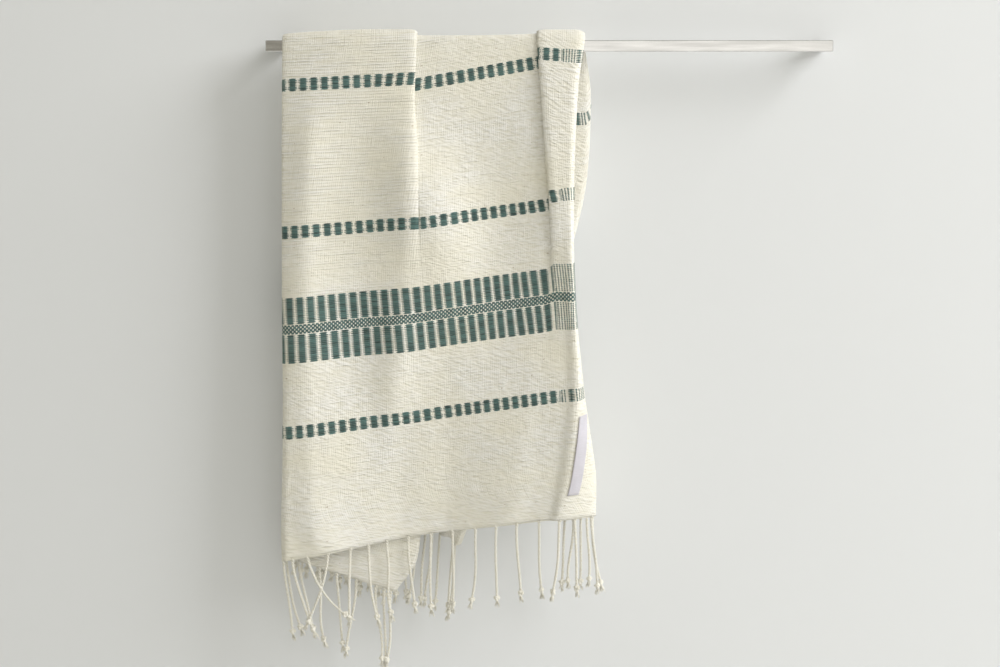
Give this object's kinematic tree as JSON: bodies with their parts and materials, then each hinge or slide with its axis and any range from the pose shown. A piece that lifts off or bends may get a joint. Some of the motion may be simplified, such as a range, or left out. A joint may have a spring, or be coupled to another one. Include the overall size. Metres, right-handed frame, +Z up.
{
  "type": "hand towel on a bar handle",
  "caption": "Woven cotton hand towel with block stripes and knotted fringes, hung askew over a chrome bar handle",
  "frame": {"origin": "Centre of the left leg's foot, on the face that the handle is fastened to", "axes": "+Z up, +X along the bar to the right as seen from the front, +Y back into the door"},
  "size_m": [0.4512, 0.0579, 0.5169],
  "materials": {
    "cotton": "cream hand-woven cotton with teal block stripes",
    "yarn": "twisted cream cotton cords",
    "tape": "bare pale woven tape",
    "chrome": "polished chrome"
  },
  "bodies": {
    "root": {"towel": "cotton", "fringe_front": "yarn", "fringe_back": "yarn", "label": "tape", "bar": "chrome", "leg_left": "chrome", "leg_right": "chrome"}
  },
  "joints": []
}
